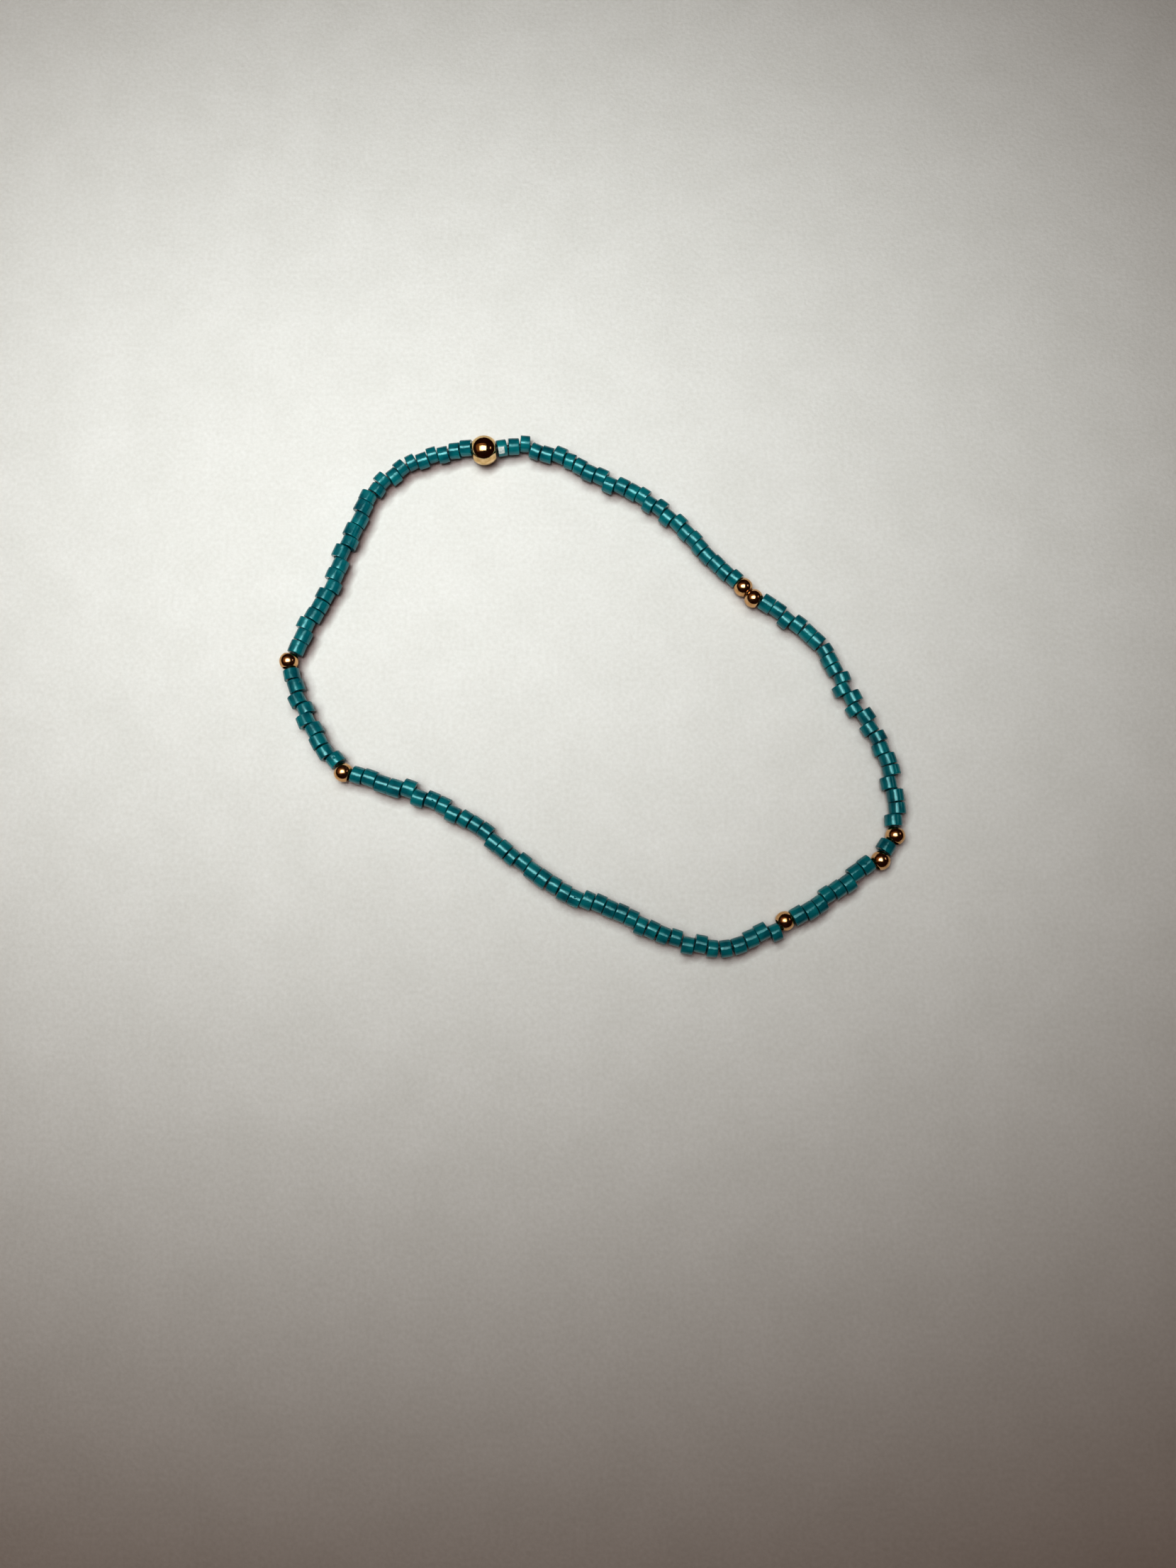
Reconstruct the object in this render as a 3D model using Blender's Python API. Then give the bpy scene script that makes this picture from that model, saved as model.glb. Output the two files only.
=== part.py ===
# A beaded bracelet laid flat: teal cylinder seed beads on an elastic thread, with one large
# and seven small round gold beads among them. Lengths are metres and +Z is up. The origin
# is the middle of the underside, on the surface that the bracelet lies on.

import math

import bmesh
import bpy
from mathutils import Matrix, Vector

MM = 0.001

# Teal beads: cut tube in four lengths, with one flat side down
BEAD_DIAMETER = 1.8 * MM
SHORT_BEAD = 0.99 * MM
MEDIUM_BEAD = 1.09 * MM
LONG_BEAD = 1.19 * MM
EXTRA_LONG_BEAD = 1.29 * MM
BEAD_SIDES = 10
SIDE_STEP = 0.2 * MM

# Neighbours keep this gap where their rims come closest
BEAD_GAP = 0.045 * MM

# Elastic thread
THREAD_DIAMETER = 0.5 * MM

# Gold beads: drilled balls, cut flat round the mouth of the bore
SMALL_BALL = 2.0 * MM
LARGE_BALL = 3.0 * MM
SMALL_BORE_CLEARANCE = 0.34 * MM
LARGE_BORE_CLEARANCE = 0.45 * MM
BORE_LIP = 0.1 * MM
SMALL_BALL_SIDES = 12
LARGE_BALL_SIDES = 16
BANDS_PER_SIDE = 0.5

# A ball may sit above or below the thread by this share of its bore's clearance. Where
# that is too little the thread is lifted, over this length on each side.
HANG_SHARE = 0.55
LIFT_REACH = 5.5 * MM

# Chosen points of the loop, in millimetres, clockwise from the large gold bead. The loop
# keeps this shape and takes the length that its beads need.
LOOP_POINTS = [
    (-10.8, 25.1), (-7.0, 25.4), (-3.2, 24.4), (0.1, 22.8), (4.4, 20.6), (8.0, 18.0),
    (11.2, 14.7), (14.2, 11.5), (17.0, 9.0), (20.2, 6.8), (23.2, 4.0), (24.7, 1.2),
    (26.4, -2.0), (28.2, -5.0), (29.4, -8.4), (29.8, -12.0), (29.5, -15.0), (28.2, -17.0),
    (25.0, -19.2), (21.0, -22.0), (16.6, -24.3), (12.6, -25.6), (9.2, -25.2), (5.0, -23.4),
    (0.0, -21.2), (-4.3, -19.1), (-8.5, -15.8), (-13.0, -12.6), (-17.6, -10.6), (-22.1, -9.1),
    (-24.2, -8.3), (-27.0, -4.4), (-28.8, -1.0), (-29.7, 2.6), (-28.6, 5.8), (-26.7, 9.8),
    (-25.0, 14.0), (-23.0, 18.6), (-20.2, 22.6), (-15.6, 24.5),
]
STEPS_PER_POINT = 24

# Each row is a gold bead and the teal beads that follow it. "steps" is how far the gold
# bead sits outside the thread, in side steps. "lengths" gives each teal bead's length,
# short, medium, long or extra long. "places" gives where it sits across the thread: I and
# i inside the loop by two steps and one, c centred, o and O outside by one step and two.
STRAND = [
    {"gold": "gold_bead_large", "steps": -1.3,
     "lengths": "smsmllsmllmlmssmmlmssllms",
     "places": "icOiioccicIccoioiococicco"},
    {"gold": "gold_bead_1", "steps": 0.3, "lengths": "", "places": ""},
    {"gold": "gold_bead_2", "steps": -0.8,
     "lengths": "llmllmssssmmslmsmmsllmm",
     "places": "ooiooooccoIoIOiocooIcoi"},
    {"gold": "gold_bead_3", "steps": 0.6, "lengths": "s", "places": "i"},
    {"gold": "gold_bead_4", "steps": 0.8,
     "lengths": "mlmmmsml",
     "places": "IIociooc"},
    {"gold": "gold_bead_5", "steps": -0.8,
     "lengths": "slllmsmmmmmsmmmmmlmmmllsmllmmlmlllxxxm",
     "places": "OIcoooioIccoiiiicoocccioooiicoiicIccic"},
    {"gold": "gold_bead_6", "steps": 1.2,
     "lengths": "smllmslxs",
     "places": "ioocOiocc"},
    {"gold": "gold_bead_7", "steps": 1.2,
     "lengths": "llmmmmmmlxmxxlmsssssmsmmm",
     "places": "iioiiiIiioicioOcoIooiocoO"},
]
LARGE_GOLD = "gold_bead_large"
LENGTH_OF = {"s": SHORT_BEAD, "m": MEDIUM_BEAD, "l": LONG_BEAD, "x": EXTRA_LONG_BEAD}
STEPS_OF = {"I": -2, "i": -1, "c": 0, "o": 1, "O": 2}

UP = Vector((0.0, 0.0, 1.0))


# Materials

def make_material(name, color, roughness, metallic):
    material = bpy.data.materials.new(name)
    material.use_nodes = True
    shader = material.node_tree.nodes["Principled BSDF"]
    shader.inputs["Base Color"].default_value = (*color, 1.0)
    shader.inputs["Roughness"].default_value = roughness
    shader.inputs["Metallic"].default_value = metallic
    return material


# Sizes that follow from the ones above

def resting_height(radius, sides):
    """Height of the middle of a turned piece that lies on one of its flats."""
    return radius * math.cos(math.pi / sides)


THREAD_LEVEL = resting_height(BEAD_DIAMETER / 2, BEAD_SIDES)


def ball_sizes(name):
    """Everything about one gold bead that follows from its diameter."""
    large = name == LARGE_GOLD
    radius = (LARGE_BALL if large else SMALL_BALL) / 2
    sides = LARGE_BALL_SIDES if large else SMALL_BALL_SIDES
    clearance = LARGE_BORE_CLEARANCE if large else SMALL_BORE_CLEARANCE
    bore = THREAD_DIAMETER / 2 + clearance
    mouth = bore + BORE_LIP
    # The ball lies on the surface: its middle sits above the level thread by up to its
    # play, and the thread is lifted by the rest
    rise = resting_height(radius, sides) - THREAD_LEVEL
    play = HANG_SHARE * clearance
    hang = max(-play, min(play, rise))
    return {
        "radius": radius,
        "sides": sides,
        "bore": bore,
        "mouth": mouth,
        "half": math.sqrt(radius ** 2 - mouth ** 2),
        "hang": hang,
        "lift": max(0.0, rise - hang),
    }


# The loop that the thread follows

def loop_curve():
    """Closed smooth curve through the chosen points, as many short steps in metres."""
    points = [Vector((x, y)) * MM for x, y in LOOP_POINTS]
    count = len(points)
    spans = [(points[(i + 1) % count] - points[i]).length for i in range(count)]
    slopes = []
    for i in range(count):
        before = (points[i] - points[i - 1]) / spans[i - 1]
        after = (points[(i + 1) % count] - points[i]) / spans[i]
        slopes.append((before * spans[i] + after * spans[i - 1]) / (spans[i] + spans[i - 1]))
    curve = []
    for i in range(count):
        start, end = points[i], points[(i + 1) % count]
        leave, arrive = slopes[i] * spans[i], slopes[(i + 1) % count] * spans[i]
        for step in range(STEPS_PER_POINT):
            t = step / STEPS_PER_POINT
            curve.append(start * (2 * t ** 3 - 3 * t ** 2 + 1) + leave * (t ** 3 - 2 * t ** 2 + t)
                         + end * (3 * t ** 2 - 2 * t ** 3) + arrive * (t ** 3 - t ** 2))
    return curve


class Thread:
    """The loop, brought to a given length, and the places along it."""

    def __init__(self, length=None, lifts=()):
        curve = loop_curve()
        steps = [(curve[(i + 1) % len(curve)] - curve[i]).length for i in range(len(curve))]
        self.length = length or sum(steps)
        scale = self.length / sum(steps)
        self.curve = [point * scale for point in curve]
        self.reached = [0.0]
        for step in steps:
            self.reached.append(self.reached[-1] + step * scale)
        self.lifts = lifts

    def height(self, place):
        """The thread lies at the teal beads' middles and rises to reach a tall ball's bore."""
        rise = 0.0
        for middle, lift in self.lifts:
            away = abs((place - middle + self.length / 2) % self.length - self.length / 2)
            if away < LIFT_REACH:
                rise += lift * (1 + math.cos(math.pi * away / LIFT_REACH)) / 2
        return THREAD_LEVEL + rise

    def at(self, place):
        place %= self.length
        low, high = 0, len(self.curve)
        while high - low > 1:
            middle = (low + high) // 2
            if self.reached[middle] <= place:
                low = middle
            else:
                high = middle
        share = (place - self.reached[low]) / (self.reached[low + 1] - self.reached[low])
        point = self.curve[low].lerp(self.curve[(low + 1) % len(self.curve)], share)
        return Vector((point.x, point.y, self.height(place)))

    def chord(self, place, half):
        """Middle and direction of a stiff piece that spans the thread about a place."""
        start, end = self.at(place - half), self.at(place + half)
        return (start + end) / 2, (end - start).normalized()


def bend_room(loop, bead, following):
    """Length that two neighbours need between them where the thread bends."""
    _, before = loop.chord(bead["place"], bead["half"])
    _, after = loop.chord(following["place"], following["half"])
    inside = 1 if before.cross(after).z < 0 else -1
    # A ball falls away behind its mouth, so beside one only the mouth has to clear
    touching = [piece for piece in (bead, following) if piece["gold"]] or [bead, following]
    reach = sum(piece["rim"] - inside * piece["aside"] for piece in touching) / len(touching)
    return 2 * math.sin(before.angle(after) / 2) * reach


def list_beads():
    """Every bead in order, with its half length, rim radius and sideways place."""
    beads = []
    for row in STRAND:
        sizes = ball_sizes(row["gold"])
        beads.append({"gold": row["gold"], "half": sizes["half"],
                      "rim": sizes["mouth"] + abs(sizes["hang"]),
                      "aside": row["steps"] * SIDE_STEP})
        for length, place in zip(row["lengths"], row["places"], strict=True):
            beads.append({"gold": None, "half": LENGTH_OF[length] / 2, "rim": BEAD_DIAMETER / 2,
                          "aside": STEPS_OF[place] * SIDE_STEP})
    return beads


def thread_beads(beads):
    """Give each bead its place along the thread, and return the length of the loop."""
    loop = Thread()
    beads[0]["place"] = 0.0
    for bead, following in zip(beads, beads[1:] + beads[:1]):
        step = bead["half"] + BEAD_GAP + following["half"]
        guess = {**following, "place": bead["place"] + step}
        step += bend_room(loop, bead, guess)
        if following is beads[0]:
            return bead["place"] + step
        following["place"] = bead["place"] + step


# Frames and rings

def frame_of(direction):
    """Left of and above a direction along the thread."""
    left = UP.cross(direction).normalized()
    return left, direction.cross(left)


def ring(bm, middle, direction, radius, sides):
    """Vertices of one ring, turned so that a flat between two of them faces down."""
    left, above = frame_of(direction)
    vertices = []
    for i in range(sides):
        angle = -math.pi / 2 + (i + 0.5) * math.tau / sides
        vertices.append(bm.verts.new(
            middle + (left * math.cos(angle) + above * math.sin(angle)) * radius))
    return vertices


def skin(bm, rings):
    """Quads between each ring and the next, and from the last ring to the first."""
    for i in range(len(rings)):
        near, far = rings[i], rings[(i + 1) % len(rings)]
        for k in range(len(near)):
            n = (k + 1) % len(near)
            bm.faces.new((near[k], near[n], far[n], far[k]))


def finish_mesh(bm, name):
    bmesh.ops.recalc_face_normals(bm, faces=bm.faces[:])
    mesh = bpy.data.meshes.new(name)
    bm.to_mesh(mesh)
    bm.free()
    mesh.shade_smooth()
    mesh.set_sharp_from_angle(angle=math.radians(40))
    return mesh


# The string of teal beads, fused to its thread

def bead_rings(bm, thread, bead):
    """Thread, near face, far face and thread again, for one teal bead."""
    middle, direction = thread.chord(bead["place"], bead["half"])
    left, _ = frame_of(direction)
    centre = middle + left * bead["aside"]
    rings = []
    for side in (-1, 1):
        face = centre + direction * (side * bead["half"])
        on_thread = thread.at(bead["place"] + side * bead["half"])
        on_thread -= direction * (on_thread - face).dot(direction)
        rings.append(ring(bm, on_thread, direction, THREAD_DIAMETER / 2, BEAD_SIDES))
        rings.append(ring(bm, face, direction, BEAD_DIAMETER / 2, BEAD_SIDES))
    rings[2], rings[3] = rings[3], rings[2]
    return rings


def ball_rings(bm, thread, bead):
    """The bare thread inside a gold bead."""
    rings = []
    for share in (-1, 0, 1):
        place = bead["place"] + share * bead["half"] / 2
        _, direction = thread.chord(place, bead["half"] / 2)
        rings.append(ring(bm, thread.at(place), direction, THREAD_DIAMETER / 2, BEAD_SIDES))
    return rings


def make_string(thread, beads, material):
    bm = bmesh.new()
    rings = []
    for bead in beads:
        make_rings = ball_rings if bead["gold"] else bead_rings
        rings += make_rings(bm, thread, bead)
    skin(bm, rings)
    mesh = finish_mesh(bm, "bead_string")
    mesh.materials.append(material)
    return bpy.data.objects.new("bead_string", mesh)


# Gold beads

def make_ball_mesh(name, sizes, material):
    """A drilled ball along +X, lying on one of its flats."""
    bm = bmesh.new()
    along = Vector((1.0, 0.0, 0.0))
    sides = sizes["sides"]
    bands = 2 * round(sides * BANDS_PER_SIDE / 2)
    reach = math.asin(sizes["half"] / sizes["radius"])
    rings = []
    for band in range(bands + 1):
        angle = reach * (2 * band / bands - 1)
        rings.append(ring(bm, along * (sizes["radius"] * math.sin(angle)), along,
                          sizes["radius"] * math.cos(angle), sides))
    # The bore's flats stay clear of the thread by the full clearance
    bore = sizes["bore"] / math.cos(math.pi / sides)
    for side in (1, -1):
        rings.append(ring(bm, along * (side * sizes["half"]), along, bore, sides))
    skin(bm, rings)
    mesh = finish_mesh(bm, name)
    mesh.materials.append(material)
    return mesh


def make_balls(thread, beads, material):
    meshes = {}
    balls = []
    for bead in beads:
        if not bead["gold"]:
            continue
        sizes = ball_sizes(bead["gold"])
        kind = "large_ball" if bead["gold"] == LARGE_GOLD else "small_ball"
        if kind not in meshes:
            meshes[kind] = make_ball_mesh(kind, sizes, material)
        _, direction = thread.chord(bead["place"], bead["half"])
        left, above = frame_of(direction)
        centre = thread.at(bead["place"]) + left * bead["aside"] + UP * sizes["hang"]
        ball = bpy.data.objects.new(bead["gold"], meshes[kind])
        turn = Matrix((direction, left, above)).transposed().to_4x4()
        ball.matrix_local = Matrix.Translation(centre) @ turn
        balls.append(ball)
    return balls


# Assembly

def clear_scene():
    for obj in list(bpy.data.objects):
        bpy.data.objects.remove(obj, do_unlink=True)


def centre_on_underside(root, pieces):
    """Move the whole bracelet so that the origin is the middle of its underside."""
    bpy.context.view_layer.update()
    corners = [piece.matrix_world @ vertex.co for piece in pieces for vertex in piece.data.vertices]
    low = Vector([min(corner[axis] for corner in corners) for axis in range(3)])
    high = Vector([max(corner[axis] for corner in corners) for axis in range(3)])
    root.location = Vector((-(low.x + high.x) / 2, -(low.y + high.y) / 2, -low.z))


def main():
    clear_scene()
    teal = make_material("teal_glass", (0.005, 0.15, 0.17), 0.25, 0.0)
    gold = make_material("gold_plate", (0.85, 0.55, 0.25), 0.12, 1.0)

    beads = list_beads()
    total = thread_beads(beads)
    lifts = [(bead["place"], ball_sizes(bead["gold"])["lift"]) for bead in beads if bead["gold"]]
    thread = Thread(total, lifts)

    root = bpy.data.objects.new("bracelet", None)
    pieces = [make_string(thread, beads, teal)] + make_balls(thread, beads, gold)
    bpy.context.collection.objects.link(root)
    for piece in pieces:
        bpy.context.collection.objects.link(piece)
        piece.parent = root
    centre_on_underside(root, pieces)


main()
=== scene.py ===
import math
import random

import bpy
import numpy as np
from mathutils import Matrix, Vector


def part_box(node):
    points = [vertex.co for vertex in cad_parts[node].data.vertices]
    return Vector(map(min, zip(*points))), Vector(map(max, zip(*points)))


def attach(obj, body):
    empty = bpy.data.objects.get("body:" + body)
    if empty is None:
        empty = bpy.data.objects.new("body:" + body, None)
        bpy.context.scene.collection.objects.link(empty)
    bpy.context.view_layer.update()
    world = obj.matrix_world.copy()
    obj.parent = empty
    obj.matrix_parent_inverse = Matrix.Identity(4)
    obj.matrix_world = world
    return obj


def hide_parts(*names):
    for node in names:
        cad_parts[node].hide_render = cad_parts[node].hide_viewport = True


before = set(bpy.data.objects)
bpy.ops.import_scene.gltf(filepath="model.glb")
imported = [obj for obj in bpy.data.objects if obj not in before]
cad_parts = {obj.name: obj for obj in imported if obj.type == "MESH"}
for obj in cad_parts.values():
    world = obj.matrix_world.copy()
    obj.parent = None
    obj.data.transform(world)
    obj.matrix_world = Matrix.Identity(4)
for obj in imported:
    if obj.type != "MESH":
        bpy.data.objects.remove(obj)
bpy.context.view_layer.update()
mm = 0.001
dice = random.Random(23)  # small differences between beads, the same in each run
print("frame loaded")

# where everything lies

teal = {
    "radius": 0.9 * mm,
    "solidSides": 10,  # in the solids a bead is a prism that lies on one of its flats
    "bore": 0.45 * mm,
    "rim": 0.07 * mm,
    "rimSpread": (0.7, 1.3),
    "barrel": (0.0, 0.02),  # how much thinner it is at its ends
    "oval": 0.008,
    "slant": 0.045,  # how far off square an end may be cut
    "pitch": math.radians(2),  # how far it may tip along the thread
    "tipRise": 0.5,  # share of the tip by which its middle rises
    "lengths": {"s": 0.99 * mm, "m": 1.09 * mm, "l": 1.19 * mm, "x": 1.29 * mm},
    "places": {"I": -2, "i": -1, "c": 0, "o": 1, "O": 2},
    # what one digit away from the plain digit means in a strand row
    "plainDigit": 4,
    "turnStep": math.radians(3),
    "shiftStep": 0.07 * mm,
    "girthStep": 0.025 * mm,
    # each end reaches into the gap to its neighbour, by at most this much, and stops short
    "reach": 0.17 * mm,
    "shortBy": 0.018 * mm,
    "shortSpread": (0.6, 1.8),
    # the mesh
    "sides": 44,
    "stations": (0, 0.25, 0.5, 0.7),  # rings on the barrel, as shares of half its length
    "shoulder": 1.35,  # the last ring before the rim, and the first after it, in rim radii
    "shoulderRise": 0.15,  # how much of the barrel's swell is left at the rim
    "rimSteps": 5,
    # rings at the bore's mouth: how far in from the end, how much wider than the bore
    "boreEdge": ((0.0, 0.09 * mm), (0.015 * mm, 0.02 * mm), (0.06 * mm, 0.0)),
}

thread = {
    "radius": 0.25 * mm,
    "sides": 12,
    "stations": (-0.4, 0.4),  # its rings in a bead, as shares of half the bead's length
    "beadGap": 0.045 * mm,  # between the rims of neighbours
    "sideStep": 0.2 * mm,
    "level": teal["radius"] * math.cos(math.pi / teal["solidSides"]),  # above the surface
    "liftReach": 5.5 * mm,  # how far on each side it rises to a bead that lifts it
    "boreSlack": 0.19 * mm,  # how far it may lie from a bead's middle
    # chosen points of the loop in millimetres, clockwise from the large gold bead
    "points": [
        (-10.8, 25.1), (-7.0, 25.4), (-3.2, 24.4), (0.1, 22.8), (4.4, 20.6), (8.0, 18.0),
        (11.2, 14.7), (14.2, 11.5), (17.0, 9.0), (20.2, 6.8), (23.2, 4.0), (24.7, 1.2),
        (26.4, -2.0), (28.2, -5.0), (29.4, -8.4), (29.8, -12.0), (29.5, -15.0), (28.2, -17.0),
        (25.0, -19.2), (21.0, -22.0), (16.6, -24.3), (12.6, -25.6), (9.2, -25.2), (5.0, -23.4),
        (0.0, -21.2), (-4.3, -19.1), (-8.5, -15.8), (-13.0, -12.6), (-17.6, -10.6),
        (-22.1, -9.1), (-24.2, -8.3), (-27.0, -4.4), (-28.8, -1.0), (-29.7, 2.6),
        (-28.6, 5.8), (-26.7, 9.8), (-25.0, 14.0), (-23.0, 18.6), (-20.2, 22.6), (-15.6, 24.5),
    ],
    "stepsPerPoint": 24,
}

# The solids' sizes lay out the strand, and the shown ones are what the eye sees. The mouth is
# the radius of the flat round the bore. A bead hangs off the thread by the play in its bore,
# and a large one lifts the thread as well.
goldSmall = {
    "radius": 1.0 * mm,
    "mouth": 0.69 * mm,
    "hang": 0.11 * mm,
    "lift": 0.0,
    "shownRadius": 0.945 * mm,
    "shownMouth": 0.615 * mm,
    "shownBore": 0.53 * mm,
    "tone": {"size": 0.5 * mm, "detail": 3.0,
             "stops": [(0.2, (0.50, 0.25, 0.09)), (0.9, (0.68, 0.40, 0.20))]},
    "rough": {"size": 0.3 * mm, "detail": 4.0, "span": (0.12, 0.2)},
}
goldLarge = {
    "radius": 1.5 * mm,
    "mouth": 0.8 * mm,
    "hang": 0.2475 * mm,
    "lift": 0.3677 * mm,
    "shownRadius": 1.485 * mm,
    "shownMouth": 0.9 * mm,
    "shownBore": 0.76 * mm,
    "tone": {"size": 0.5 * mm, "detail": 3.0,
             "stops": [(0.2, (0.53, 0.33, 0.125)), (0.9, (0.76, 0.52, 0.27))]},
    "rough": {"size": 0.3 * mm, "detail": 4.0, "span": (0.07, 0.13)},
}

# Each row is a gold bead, how far it sits outside the thread in side steps, and the teal
# beads after it: their lengths and their places across the thread. The digits are what is
# special to each one: turned anticlockwise, pushed outwards and thicker above 4, and the
# other way below it.
strand = [
    {"gold": "gold_bead_large", "steps": -1.3,
     "lengths": "smsmllsmllmlmssmmlmssllms",
     "places": "icOiioccicIccoioiococicco",
     "turns": "6561436444444444444434444",
     "shifts": "6555555444344444444335444",
     "girths": "2221221122222222221110002"},
    {"gold": "gold_bead_1", "steps": 0.3, "lengths": "", "places": "",
     "turns": "", "shifts": "", "girths": ""},
    {"gold": "gold_bead_2", "steps": -0.8,
     "lengths": "llmllmssssmmslmsmmsllmm",
     "places": "ooiooooccoIoIOiocooIcoi",
     "turns": "43243534413344443444555",
     "shifts": "45443344454453543445644",
     "girths": "30332202013301111230223"},
    {"gold": "gold_bead_3", "steps": 0.6, "lengths": "s", "places": "i",
     "turns": "4", "shifts": "4", "girths": "3"},
    {"gold": "gold_bead_4", "steps": 0.8, "lengths": "mlmmmsml", "places": "IIociooc",
     "turns": "55443444", "shifts": "56455444", "girths": "30321333"},
    {"gold": "gold_bead_5", "steps": -0.8,
     "lengths": "slllmsmmmmmsmmmmmlmmmllsmllmmlmlllxxxm",
     "places": "OIcoooioIccoiiiicoocccioooiicoiicIccic",
     "turns": "35444335554444444444355434454544444444",
     "shifts": "47444344755454544655556545565565755554",
     "girths": "22312232123423234132421131102132254323"},
    {"gold": "gold_bead_6", "steps": 1.2, "lengths": "smllmslxs", "places": "ioocOiocc",
     "turns": "444423644", "shifts": "445545535", "girths": "312231211"},
    {"gold": "gold_bead_7", "steps": 1.2,
     "lengths": "llmmmmmmlxmxxlmsssssmsmmm",
     "places": "iioiiiIiioicioOcoIooiocoO",
     "turns": "4444444444444564348655433",
     "shifts": "5434342434445444452365443",
     "girths": "1223130311230321211111211"},
]


def loopCurve():
    # a smooth closed curve through the chosen points
    points = [Vector(p) * mm for p in thread["points"]]
    n = len(points)
    spans = [(points[(i + 1) % n] - points[i]).length for i in range(n)]
    slopes = []
    for i in range(n):
        before = (points[i] - points[i - 1]) / spans[i - 1]
        after = (points[(i + 1) % n] - points[i]) / spans[i]
        slopes.append((before * spans[i] + after * spans[i - 1]) / (spans[i] + spans[i - 1]))
    curve = []
    for i in range(n):
        start, end = points[i], points[(i + 1) % n]
        leave, arrive = slopes[i] * spans[i], slopes[(i + 1) % n] * spans[i]
        for step in range(thread["stepsPerPoint"]):
            t = step / thread["stepsPerPoint"]
            curve.append(start * (2 * t**3 - 3 * t**2 + 1) + leave * (t**3 - 2 * t**2 + t)
                         + end * (3 * t**2 - 2 * t**3) + arrive * (t**3 - t**2))
    return curve


class ThreadLine:
    # the loop brought to a given length, with a height at every place along it
    def __init__(self, length=None, lifts=()):
        curve = loopCurve()
        steps = [(curve[(i + 1) % len(curve)] - curve[i]).length for i in range(len(curve))]
        self.length = length or sum(steps)
        scale = self.length / sum(steps)
        self.curve = [p * scale for p in curve]
        self.reached = np.concatenate([[0], np.cumsum(steps)]) * scale
        self.lifts = lifts

    def at(self, place):
        place %= self.length
        k = int(np.searchsorted(self.reached, place, side="right")) - 1
        share = (place - self.reached[k]) / (self.reached[k + 1] - self.reached[k])
        p = self.curve[k].lerp(self.curve[(k + 1) % len(self.curve)], share)
        z = thread["level"]
        for middle, lift in self.lifts:
            away = abs((place - middle + self.length / 2) % self.length - self.length / 2)
            if away < thread["liftReach"]:
                z += lift * (1 + math.cos(math.pi * away / thread["liftReach"])) / 2
        return Vector((p.x, p.y, z))

    def chord(self, place, half):
        start, end = self.at(place - half), self.at(place + half)
        return (start + end) / 2, (end - start).normalized()


def goldKind(name):
    return goldLarge if name == "gold_bead_large" else goldSmall


def listBeads():
    beads = []
    for row in strand:
        kind = goldKind(row["gold"])
        beads.append({"gold": row["gold"], "rim": kind["mouth"] + kind["hang"],
                      "half": math.sqrt(kind["radius"]**2 - kind["mouth"]**2),
                      "aside": row["steps"] * thread["sideStep"],
                      "turn": 0.0, "shift": 0.0, "radius": kind["shownRadius"]})
        for length, place, *digits in zip(row["lengths"], row["places"], row["turns"],
                                          row["shifts"], row["girths"], strict=True):
            turn, push, girth = (int(digit) - teal["plainDigit"] for digit in digits)
            beads.append({"gold": None, "rim": teal["radius"],
                          "half": teal["lengths"][length] / 2,
                          "aside": teal["places"][place] * thread["sideStep"],
                          "turn": turn * teal["turnStep"], "shift": push * teal["shiftStep"],
                          "radius": teal["radius"] + girth * teal["girthStep"]})
    return beads


def placeBeads(beads):
    flat = ThreadLine()
    beads[0]["place"] = 0.0
    for bead, after in zip(beads, beads[1:] + beads[:1]):
        step = bead["half"] + thread["beadGap"] + after["half"]
        guess = bead["place"] + step
        _, heading = flat.chord(bead["place"], bead["half"])
        _, nextHeading = flat.chord(guess, after["half"])
        # on a bend they stand further apart, so that their rims don't cross on its inner side
        inside = 1 if heading.cross(nextHeading).z < 0 else -1
        touching = [b for b in (bead, after) if b["gold"]] or [bead, after]
        reach = sum(b["rim"] - inside * b["aside"] for b in touching) / len(touching)
        step += 2 * math.sin(heading.angle(nextHeading) / 2) * reach
        if after is beads[0]:
            total = bead["place"] + step
        else:
            after["place"] = bead["place"] + step
    lifts = [(b["place"], goldKind(b["gold"])["lift"]) for b in beads if b["gold"]]
    line = ThreadLine(total, lifts)
    for bead in beads:
        bead["middle"], along = line.chord(bead["place"], bead["half"])
        if bead["gold"]:
            bead["middle"] = line.at(bead["place"])
        left = Vector((0, 0, 1)).cross(along).normalized()
        bead["up"] = along.cross(left)
        turn = Matrix.Rotation(bead["turn"], 3, bead["up"])
        bead["along"], bead["left"] = turn @ along, turn @ left
        bead["aside"] += bead["shift"]
        bead["middle"] += left * bead["aside"]


def fillGap(bead, after):
    # both ends grow until they nearly meet, or give way where they would cross
    golds = [b for b in (bead, after) if b["gold"]]
    between = (bead["along"] + after["along"]).normalized()
    across = Vector((0, 0, 1)).cross(between)
    # each end from above is a line: where its middle lies, how it slopes, how far it reaches
    faces = []
    for b, side in ((bead, 1), (after, -1)):
        mouth = goldKind(b["gold"])["shownMouth"] if b["gold"] else 0
        half = math.sqrt(b["radius"]**2 - mouth**2) if b["gold"] else b["half"]
        face = b["middle"] + b["along"] * (side * half)
        slope = -b["along"].dot(across) / b["along"].dot(between)
        faces.append((face.dot(across), face.dot(between), slope, mouth or b["radius"]))
    low = max(y - reach for y, _, _, reach in faces)
    high = min(y + reach for y, _, _, reach in faces)
    (y1, x1, slope1, _), (y2, x2, slope2, _) = faces
    room = min(x2 + slope2 * (y - y2) - x1 - slope1 * (y - y1) for y in (low, high))
    shortBy = teal["shortBy"] * dice.uniform(*teal["shortSpread"])
    grow = (room - shortBy) / (1 if golds else 2)
    grow = max(-teal["reach"], min(teal["reach"], grow))
    bead["front"] = bead["half"] + grow
    after["back"] = after["half"] + grow


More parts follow.
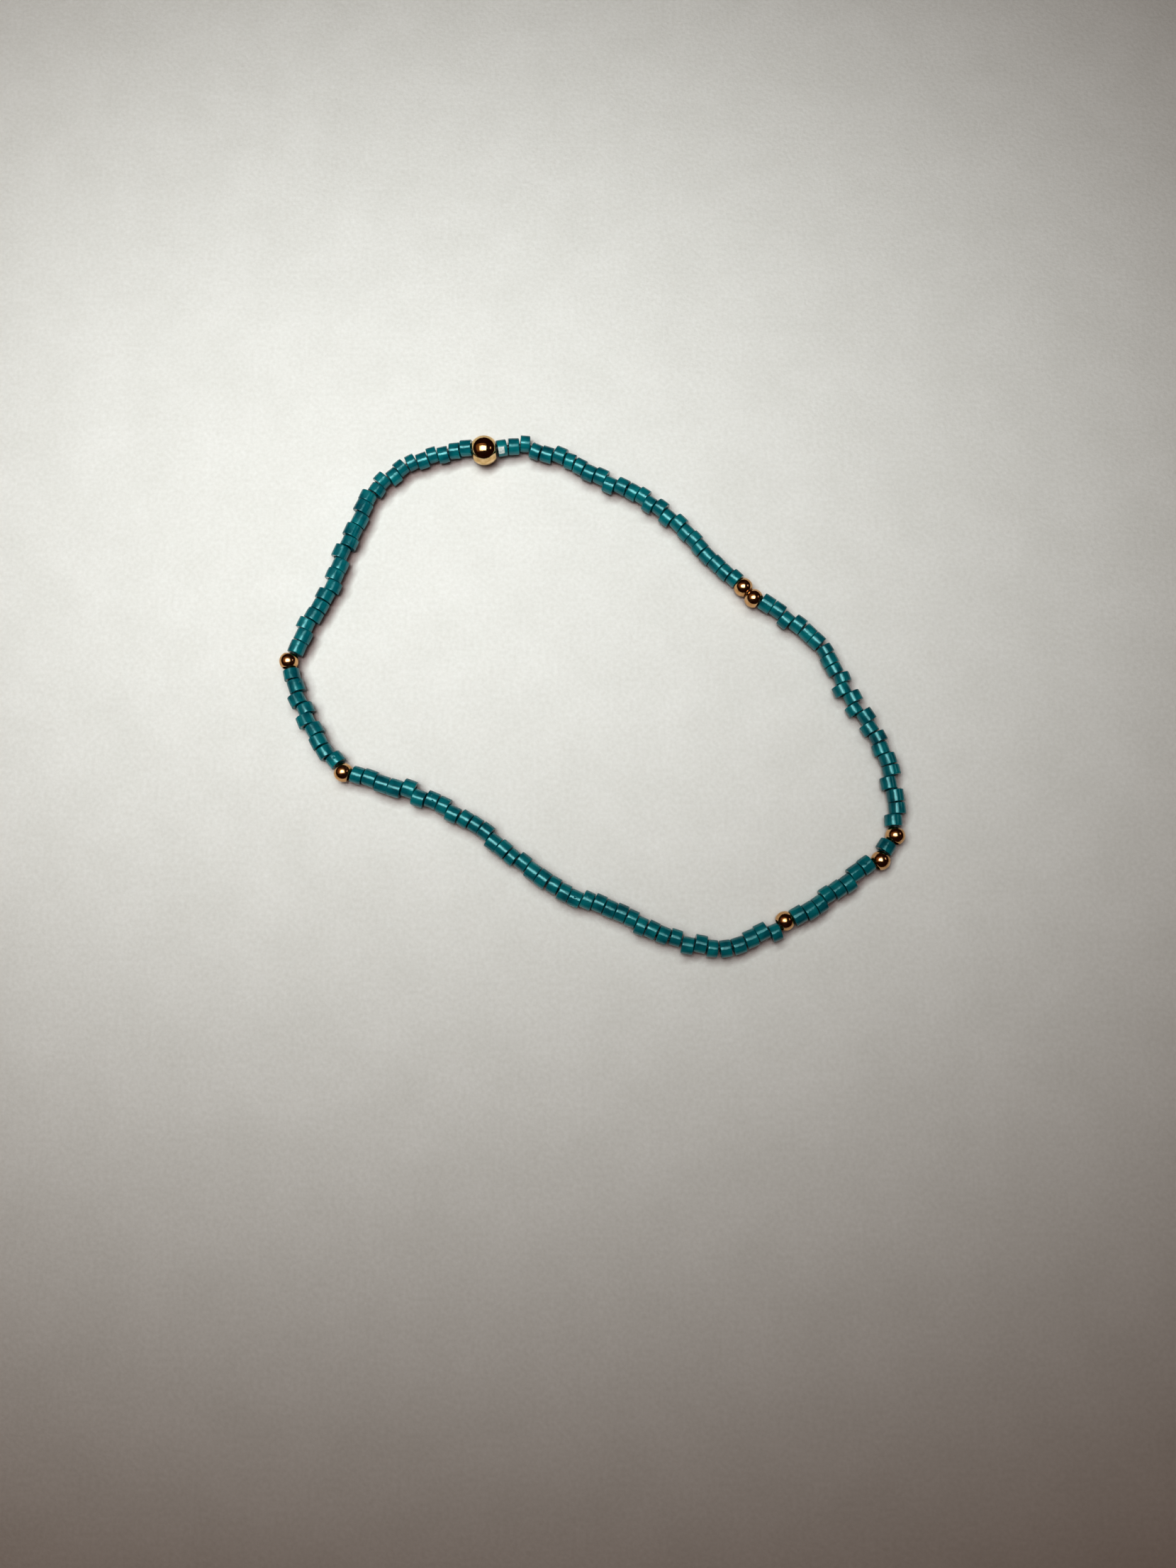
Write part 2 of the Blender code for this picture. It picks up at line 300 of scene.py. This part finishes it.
beads = listBeads()
placeBeads(beads)
for bead, after in zip(beads, beads[1:] + beads[:1]):
    fillGap(bead, after)
# the solids say where the loop lies: the large gold bead fixes the shift
low, high = (Vector(c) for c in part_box("gold_bead_large"))
shift = (low + high) / 2 - beads[0]["middle"]
shift.z = 0
for bead in beads:
    bead["middle"] += shift
print("beads placed:", len(beads), "shift in mm", [round(c / mm, 3) for c in shift])


# shader nodes

def node(tree, kind, **inputs):
    made = tree.nodes.new(kind)
    for name, value in inputs.items():
        made.inputs[name].default_value = value
    return made


def mapRange(tree, value, span, target):
    made = node(tree, "ShaderNodeMapRange", **{"From Min": span[0], "From Max": span[1],
                                                "To Min": target[0], "To Max": target[1]})
    tree.links.new(value, made.inputs["Value"])
    return made.outputs["Result"]


def newGroup(name, sockets):
    group = bpy.data.node_groups.new(name, "ShaderNodeTree")
    for socket, way, kind in sockets:
        group.interface.new_socket(socket, in_out=way, socket_type="NodeSocket" + kind)
    return group, group.nodes.new("NodeGroupInput"), group.nodes.new("NodeGroupOutput")


driftNoise = {"roughness": 0.55, "span": (0.3, 0.7)}  # what is spread over 0 to 1


def makeDriftGroup():
    # slow change over a surface, from 0 to 1
    group, start, end = newGroup("slowDrift", [
        ("Size", "INPUT", "Float"), ("Detail", "INPUT", "Float"), ("Drift", "OUTPUT", "Float")])
    where = group.nodes.new("ShaderNodeTexCoord")
    scale = group.nodes.new("ShaderNodeMath")
    scale.operation = "DIVIDE"
    scale.inputs[0].default_value = 1.0
    noise = node(group, "ShaderNodeTexNoise", Roughness=driftNoise["roughness"])
    group.links.new(start.outputs["Size"], scale.inputs[1])
    group.links.new(where.outputs["Object"], noise.inputs["Vector"])
    group.links.new(scale.outputs[0], noise.inputs["Scale"])
    group.links.new(start.outputs["Detail"], noise.inputs["Detail"])
    spread = mapRange(group, noise.outputs["Fac"], driftNoise["span"], (0.0, 1.0))
    group.links.new(spread, end.inputs["Drift"])
    return group


def makeMarkGroup():
    # 1 at one place on a bead, 0 from its edge outwards
    group, start, end = newGroup("markAt", [
        ("Place", "INPUT", "Vector"), ("Size", "INPUT", "Float"), ("Mark", "OUTPUT", "Float")])
    where = group.nodes.new("ShaderNodeTexCoord")
    away = group.nodes.new("ShaderNodeVectorMath")
    away.operation = "DISTANCE"
    group.links.new(where.outputs["Object"], away.inputs[0])
    group.links.new(start.outputs["Place"], away.inputs[1])
    edge = node(group, "ShaderNodeMapRange", **{"To Min": 1.0, "To Max": 0.0})
    edge.interpolation_type = "SMOOTHSTEP"
    group.links.new(away.outputs["Value"], edge.inputs["Value"])
    group.links.new(start.outputs["Size"], edge.inputs["From Max"])
    group.links.new(edge.outputs["Result"], end.inputs["Mark"])
    return group


driftGroup = makeDriftGroup()
markGroup = makeMarkGroup()


def placeGroup(tree, group, **inputs):
    made = tree.nodes.new("ShaderNodeGroup")
    made.node_tree = group
    for name, value in inputs.items():
        made.inputs[name].default_value = value
    return made


def drift(tree, change):
    made = placeGroup(tree, driftGroup, Size=change["size"], Detail=change["detail"])
    return made.outputs["Drift"]


def colourDrift(tree, tone):
    made = tree.nodes.new("ShaderNodeValToRGB")
    ramp = made.color_ramp
    while len(ramp.elements) < len(tone["stops"]):
        ramp.elements.new(0.5)
    for element, (at, colour) in zip(ramp.elements, tone["stops"]):
        element.position = at
        element.color = (*colour, 1.0)
    tree.links.new(drift(tree, tone), made.inputs["Fac"])
    return made.outputs["Color"]


def newMaterial(name, slots):
    material = bpy.data.materials.new(name)
    material.use_nodes = True
    shader = material.node_tree.nodes["Principled BSDF"]
    for socket, value in slots.items():
        shader.inputs[socket].default_value = value
    return material, material.node_tree, shader


def setTone(tree, shader, tone):
    tree.links.new(colourDrift(tree, tone), shader.inputs["Base Color"])


def setRoughness(tree, shader, rough):
    value = mapRange(tree, drift(tree, rough), (0, 1), rough["span"])
    tree.links.new(value, shader.inputs["Roughness"])


def addBump(tree, shader, height, depth, strength, under=None):
    # it lies over the bump before it, where there is one
    bump = node(tree, "ShaderNodeBump", Strength=strength, Distance=depth)
    tree.links.new(height, bump.inputs["Height"])
    if under:
        tree.links.new(under.outputs["Normal"], bump.inputs["Normal"])
    tree.links.new(bump.outputs["Normal"], shader.inputs["Normal"])
    return bump


def addWave(tree, shader, wave, under=None):
    return addBump(tree, shader, drift(tree, wave), wave["depth"], wave["strength"], under)


# materials

glaze = {
    "shader": {"IOR": 1.53, "Specular Tint": (0.38, 0.97, 1.0, 1.0)},
    "tone": {"size": 1.5 * mm, "detail": 3.0,
             "stops": [(0.05, (0.0004, 0.048, 0.066)), (0.5, (0.0008, 0.094, 0.115)),
                       (0.95, (0.002, 0.14, 0.158))]},
    "rough": {"size": 2.0 * mm, "detail": 4.0, "span": (0.05, 0.2)},
    "ripple": {"size": 0.9 * mm, "detail": 0.6, "depth": 0.012 * mm, "strength": 0.8},
    "grain": {"size": 0.4 * mm, "detail": 1.5, "depth": 0.008 * mm, "strength": 0.8},
}

# pits and bumps that break the highlights of single beads: the bead's number clockwise from
# the large gold one, the share of its half length, and degrees from its left over its top
dents = [
    {"bead": 54, "along": 0.1, "round": 108, "size": 0.26 * mm, "depth": -0.03 * mm},
    {"bead": 79, "along": 0.2, "round": 110, "size": 0.12 * mm, "depth": 0.04 * mm},
    {"bead": 80, "along": 0.0, "round": 95, "size": 0.14 * mm, "depth": -0.05 * mm},
    {"bead": 94, "along": -0.3, "round": 80, "size": 0.12 * mm, "depth": -0.06 * mm},
    {"bead": 94, "along": 0.25, "round": 112, "size": 0.1 * mm, "depth": -0.06 * mm},
    {"bead": 102, "along": 0.1, "round": 95, "size": 0.17 * mm, "depth": -0.05 * mm},
    {"bead": 109, "along": 0.3, "round": 130, "size": 0.15 * mm, "depth": 0.05 * mm},
    {"bead": 7, "along": 0.8, "round": 40, "size": 0.3 * mm, "depth": 0.07 * mm},
]


def onBead(dent):
    # the dent's place on its bead's skin
    bead, angle = beads[dent["bead"]], math.radians(dent["round"])
    return (bead["middle"] + Vector((0, 0, bead["radius"] - thread["level"]))
            + bead["along"] * bead["half"] * dent["along"]
            + (bead["left"] * math.cos(angle) + bead["up"] * math.sin(angle)) * bead["radius"])


def tealGlazeMaterial():
    material, tree, shader = newMaterial("tealGlaze", glaze["shader"])
    setTone(tree, shader, glaze["tone"])
    setRoughness(tree, shader, glaze["rough"])
    bump = addWave(tree, shader, glaze["ripple"])
    bump = addWave(tree, shader, glaze["grain"], bump)
    for dent in dents:
        mark = placeGroup(tree, markGroup, Place=onBead(dent), Size=dent["size"])
        bump = addBump(tree, shader, mark.outputs["Mark"], dent["depth"], 1.0, bump)
    return material


# a pale patch on the bead after the large gold one: from ring to ring of its mesh, and from
# degree to degree round it
patch = {
    "rings": (6, 16),
    "round": (110, 158),
    "shader": {"Roughness": 0.35},
    "tone": {"size": 0.3 * mm, "detail": 2.0,
             "stops": [(0.1, (0.36, 0.46, 0.46)), (0.8, (0.62, 0.66, 0.64))]},
}


def makePalePatchMaterial():
    material, tree, shader = newMaterial("palePatch", patch["shader"])
    setTone(tree, shader, patch["tone"])
    return material


goldPlate = {
    "shader": {"Metallic": 1.0, "Specular Tint": (1.0, 0.93, 0.8, 1.0)},
    "wave": {"size": 0.6 * mm, "detail": 3.0, "depth": 0.01 * mm, "strength": 0.25},
}


def goldPlateMaterial(name, kind):
    material, tree, shader = newMaterial(name, goldPlate["shader"])
    setTone(tree, shader, kind["tone"])
    setRoughness(tree, shader, kind["rough"])
    addWave(tree, shader, goldPlate["wave"])
    return material


# the thread's own colour is not seen: it is made near-black like the gaps between beads, whose
# darkness is partly shade
elastic = {
    "shader": {"Roughness": 0.5},
    "tone": {"size": 0.4 * mm, "detail": 2.0,
             "stops": [(0.0, (0.002, 0.012, 0.014)), (1.0, (0.004, 0.03, 0.034))]},
}


def elasticMaterial():
    material, tree, shader = newMaterial("darkElastic", elastic["shader"])
    setTone(tree, shader, elastic["tone"])
    return material


paper = {
    "shader": {"Roughness": 0.85},
    "clouds": {"size": 6 * mm, "detail": 4.0,
               "stops": [(0.0, (0.78, 0.775, 0.755)), (1.0, (0.825, 0.82, 0.805))]},
    "specks": {"size": 0.4 * mm, "detail": 3.0,
               "stops": [(0.0, (0.915, 0.91, 0.9)), (1.0, (1.0, 1.0, 1.0))]},
    "tooth": {"size": 0.5 * mm, "detail": 5.0, "depth": 0.06 * mm, "strength": 0.6},
    # painted shadow: close under a bead, on the side away from the lamps, the paper's colour is
    # darkened to brown, standing in for the cast shadow
    "lampSide": {"X": -0.6, "Y": 0.6, "Z": 0.53},
    "shadeReach": 1.2 * mm,
    "shadeSamples": 4,
    "shadeSpan": (0.42, 0.88),  # how open the paper is where the shade is full, and where it ends
    "shade": (0.2, 0.1, 0.095, 1.0),
}


def multiplyNode(tree, colour):
    made = tree.nodes.new("ShaderNodeMix")
    made.data_type = "RGBA"
    made.blend_type = "MULTIPLY"
    made.inputs["Factor"].default_value = 1.0
    tree.links.new(colour, made.inputs["A"])
    return made


def paperMaterial():
    material, tree, shader = newMaterial("palePaper", paper["shader"])
    tone = multiplyNode(tree, colourDrift(tree, paper["clouds"]))
    tree.links.new(colourDrift(tree, paper["specks"]), tone.inputs["B"])
    lampSide = node(tree, "ShaderNodeCombineXYZ", **paper["lampSide"])
    # painted shadow: an occlusion mask, leaning towards the lamps, finds beads close by
    shadowOcclusion = node(tree, "ShaderNodeAmbientOcclusion", Distance=paper["shadeReach"])
    shadowOcclusion.samples = paper["shadeSamples"]
    tree.links.new(lampSide.outputs["Vector"], shadowOcclusion.inputs["Normal"])
    amount = mapRange(tree, shadowOcclusion.outputs["AO"], paper["shadeSpan"], (1.0, 0.0))
    # painted shadow: the paper's colour is multiplied towards brown where that mask is least open
    paintedShadow = multiplyNode(tree, tone.outputs["Result"])
    paintedShadow.inputs["B"].default_value = paper["shade"]
    tree.links.new(amount, paintedShadow.inputs["Factor"])
    tree.links.new(paintedShadow.outputs["Result"], shader.inputs["Base Color"])
    addWave(tree, shader, paper["tooth"])
    return material


tealGlaze = tealGlazeMaterial()
goldLarge["material"] = goldPlateMaterial("goldPlateLarge", goldLarge)
goldSmall["material"] = goldPlateMaterial("goldPlateSmall", goldSmall)
palePatch = makePalePatchMaterial()
darkElastic = elasticMaterial()
palePaper = paperMaterial()
print("materials made")


# meshes

def addPiece(name, points, faces, material, slotName, *nodes):
    mesh = bpy.data.meshes.new(name)
    mesh.from_pydata(points, [], faces)
    mesh.materials.append(material)
    mesh.shade_smooth()
    mesh.validate()
    piece = bpy.data.objects.new(name, mesh)
    bpy.context.collection.objects.link(piece)
    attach(piece, "root")
    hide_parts(*nodes)
    return piece


def ringFaces(first, rings, sides):
    # four-sided faces from ring to ring, and from the last ring back to the first
    faces = []
    for i in range(rings):
        a, b = first + i * sides, first + (i + 1) % rings * sides
        for k in range(sides):
            n = (k + 1) % sides
            faces.append((a + k, a + n, b + n, b + k))
    return faces


def tubeProfile(half, radius):
    # from the middle of a bead over its rim and back through the bore: along, out
    rim = teal["rim"] * dice.uniform(*teal["rimSpread"])
    end = radius * (1 - dice.uniform(*teal["barrel"]))
    shoulder = rim * teal["shoulder"]
    points = [(half * share, radius - (radius - end) * share**2) for share in teal["stations"]]
    points.append((half - shoulder, end + (radius - end) * teal["shoulderRise"]))
    for k in range(teal["rimSteps"] + 1):
        a = math.radians(90 - 90 / teal["rimSteps"] * k)
        points.append((half - rim + rim * math.cos(a), end - rim + rim * math.sin(a)))
    points.append((half, end - shoulder))
    points += [(half - inward, teal["bore"] + wider) for inward, wider in teal["boreEdge"]]
    points.append((0, teal["bore"]))
    return points


def tealBeadMesh(bead, first):
    radius = bead["radius"]
    back, front = tubeProfile(bead["back"], radius), tubeProfile(bead["front"], radius)
    profile = [(-x, r) for x, r in reversed(back)] + front[1:-1]
    angles = np.arange(teal["sides"]) * math.tau / teal["sides"]
    lean = [(dice.uniform(0, teal["slant"]), dice.uniform(0, math.tau)) for _ in range(2)]
    oval, ovalAt = dice.uniform(0, teal["oval"]), dice.uniform(0, math.tau)
    # it lies on the paper, or hangs as high as the thread carries it
    pitch = dice.uniform(-teal["pitch"], teal["pitch"])
    tip = Matrix.Rotation(pitch, 3, bead["left"])
    axis, up = tip @ bead["along"], tip @ bead["up"]
    centre = bead["middle"] + Vector((0, 0, radius - thread["level"]))
    centre.z += abs(math.sin(pitch)) * bead["half"] * teal["tipRise"]
    points = []
    for x, r in profile:
        amount, at = lean[0 if x < 0 else 1]
        share = min(1.0, abs(x) / bead["half"])
        along = x - amount * r * (1 + np.cos(angles - at)) * share**2 * math.copysign(1, x)
        out = r * (1 + oval * (np.cos(2 * (angles - ovalAt)) - 1))
        for k, angle in enumerate(angles):
            spot = (centre + axis * along[k]
                    + (bead["left"] * math.cos(angle) + up * math.sin(angle)) * out[k])
            points.append(tuple(spot))
    return points, ringFaces(first, len(profile), teal["sides"])


ball = {
    "rings": 15,  # on each half of its round
    "sides": 64,
    "roundOff": 0.02,  # how far short of the mouth the round stops, as an angle
    # rings on the flat and in the bore: how far in from the end, then how much narrower than
    # the mouth, or wider than the bore
    "mouthEdge": ((0.004 * mm, 0.02 * mm), (0.0, 0.05 * mm)),
    "boreEdge": ((0.01 * mm, 0.01 * mm), (0.06 * mm, 0.0)),
}


def ballMesh(bead, kind):
    radius, mouth, bore = kind["shownRadius"], kind["shownMouth"], kind["shownBore"]
    half = math.sqrt(radius**2 - mouth**2)
    reach = math.asin(half / radius) - ball["roundOff"]
    side = [(radius * math.sin(a), radius * math.cos(a))
            for a in np.linspace(0, reach, ball["rings"])]
    side += [(half - inward, mouth - narrower) for inward, narrower in ball["mouthEdge"]]
    side += [(half - inward, bore + wider) for inward, wider in ball["boreEdge"]]
    side.append((0, bore))
    profile = [(-x, r) for x, r in reversed(side)] + side[1:-1]
    angles = np.arange(ball["sides"]) * math.tau / ball["sides"]
    centre = bead["middle"].copy()
    centre.z = radius
    points = []
    for x, r in profile:
        for angle in angles:
            points.append(tuple(centre + bead["along"] * x + (
                bead["left"] * math.cos(angle) + bead["up"] * math.sin(angle)) * r))
    return points, ringFaces(0, len(profile), ball["sides"])


def applyPalePatch(piece):
    piece.data.materials.append(palePatch)
    for ring in range(*patch["rings"]):
        for side in range(teal["sides"]):
            if patch["round"][0] < (side + 0.5) * 360 / teal["sides"] < patch["round"][1]:
                piece.data.polygons[ring * teal["sides"] + side].material_index = 1


def makeRuns():
    run, points, faces = 0, [], []
    for bead in beads[1:] + beads[:1]:
        if not bead["gold"]:
            morePoints, moreFaces = tealBeadMesh(bead, len(points))
            points += morePoints
            faces += moreFaces
        elif points:
            run += 1
            piece = addPiece(f"teal_run_{run}", points, faces, tealGlaze, "teal_glass",
                             "bead_string")
            if run == 1:
                applyPalePatch(piece)
            points, faces = [], []
    print("teal runs:", run)


def makeBalls():
    for bead in beads:
        if bead["gold"]:
            kind = goldKind(bead["gold"])
            points, faces = ballMesh(bead, kind)
            addPiece("polished_" + bead["gold"], points, faces, kind["material"], "gold_plate",
                     bead["gold"])


def makeThread():
    angles = np.arange(thread["sides"]) * math.tau / thread["sides"]
    slack = thread["boreSlack"]
    points = []
    for bead in beads:
        off = -max(-slack, min(slack, bead["aside"]))
        for share in thread["stations"]:
            spot = bead["middle"] + bead["left"] * off + bead["along"] * bead["half"] * share
            for angle in angles:
                points.append(tuple(spot + thread["radius"] * (
                    bead["left"] * math.cos(angle) + bead["up"] * math.sin(angle))))
    faces = ringFaces(0, len(points) // thread["sides"], thread["sides"])
    addPiece("elastic_thread", points, faces, darkElastic, "teal_glass", "bead_string")


makeRuns()
makeBalls()
makeThread()
print("bracelet made")


# floor, light and camera

studio = {
    "floor": 0.7,
    "surround": (0.014, 0.004, 0.003),
    # each lamp hangs and aims from the point that the camera looks at
    "lamps": [
        {"name": "softbox", "at": (-0.032, 0.014, 0.157), "aim": (-0.022, 0.034, 0.0),
         "size": (0.165, 0.102), "power": 0.052, "spread": 74, "colour": (0.935, 1.0, 0.985)},
        {"name": "softboxCore", "at": (-0.034, 0.015, 0.156), "aim": (-0.022, 0.034, 0.0),
         "size": (0.08, 0.05), "power": 0.0205, "spread": 74, "colour": (0.935, 1.0, 0.985)},
        {"name": "warmBounce", "at": (-0.085, 0.03, 0.17), "aim": (-0.03, 0.01, 0.0),
         "size": (0.30, 0.22), "power": 0.026, "spread": 110, "colour": (1.0, 0.47, 0.2)},
        {"name": "sideWindow", "at": (0.19, 0.05, 0.15), "aim": (0.0, 0.0, 0.0),
         "size": (0.02, 0.06), "power": 0.004, "spread": 120, "colour": (1.0, 0.8, 0.72)},
    ],
}

photo = {
    "focalPixels": 1662.0,
    "longSidePixels": 2212.0,
    "sensor": 36.0,
    "clip": (0.005, 5.0),
    "at": Vector((-0.143, -29.733, 114.24)) * mm,
    "lookAt": Vector((-0.143, -9.590, 0.0)) * mm,
}


def makeFloor():
    half = studio["floor"] / 2
    mesh = bpy.data.meshes.new("floor")
    mesh.from_pydata([(-half, -half, 0), (half, -half, 0), (half, half, 0), (-half, half, 0)],
                     [], [(0, 1, 2, 3)])
    mesh.materials.append(palePaper)
    floor = bpy.data.objects.new("floor", mesh)
    bpy.context.collection.objects.link(floor)


def makeLamps():
    for lamp in studio["lamps"]:
        data = bpy.data.lights.new(lamp["name"], "AREA")
        data.shape = "RECTANGLE"
        data.size, data.size_y = lamp["size"]
        data.energy = lamp["power"]
        data.spread = math.radians(lamp["spread"])
        data.color = lamp["colour"]
        hung = bpy.data.objects.new(lamp["name"], data)
        hung.location = shift + photo["lookAt"] + Vector(lamp["at"])
        aim = Vector(lamp["aim"]) - Vector(lamp["at"])
        hung.rotation_euler = (math.atan2(aim.y, -aim.z), -math.atan2(aim.x, -aim.z), 0)
        bpy.context.collection.objects.link(hung)


def makeRoom():
    world = bpy.data.worlds.new("room")
    world.use_nodes = True
    world.node_tree.nodes["Background"].inputs["Color"].default_value = (*studio["surround"], 1.0)
    bpy.context.scene.world = world


def makeCamera():
    data = bpy.data.cameras.new("photoCamera")
    data.sensor_width = photo["sensor"]
    data.lens = photo["focalPixels"] / photo["longSidePixels"] * photo["sensor"]
    data.clip_start, data.clip_end = photo["clip"]
    camera = bpy.data.objects.new("photoCamera", data)
    camera.location = photo["at"] + shift
    camera.rotation_euler = (photo["lookAt"] - photo["at"]).to_track_quat("-Z", "Y").to_euler()
    bpy.context.collection.objects.link(camera)
    bpy.context.scene.camera = camera
    bpy.context.scene.view_settings.view_transform = "Standard"  # full, clear colours


makeFloor()
makeLamps()
makeRoom()
makeCamera()
print("stage made")
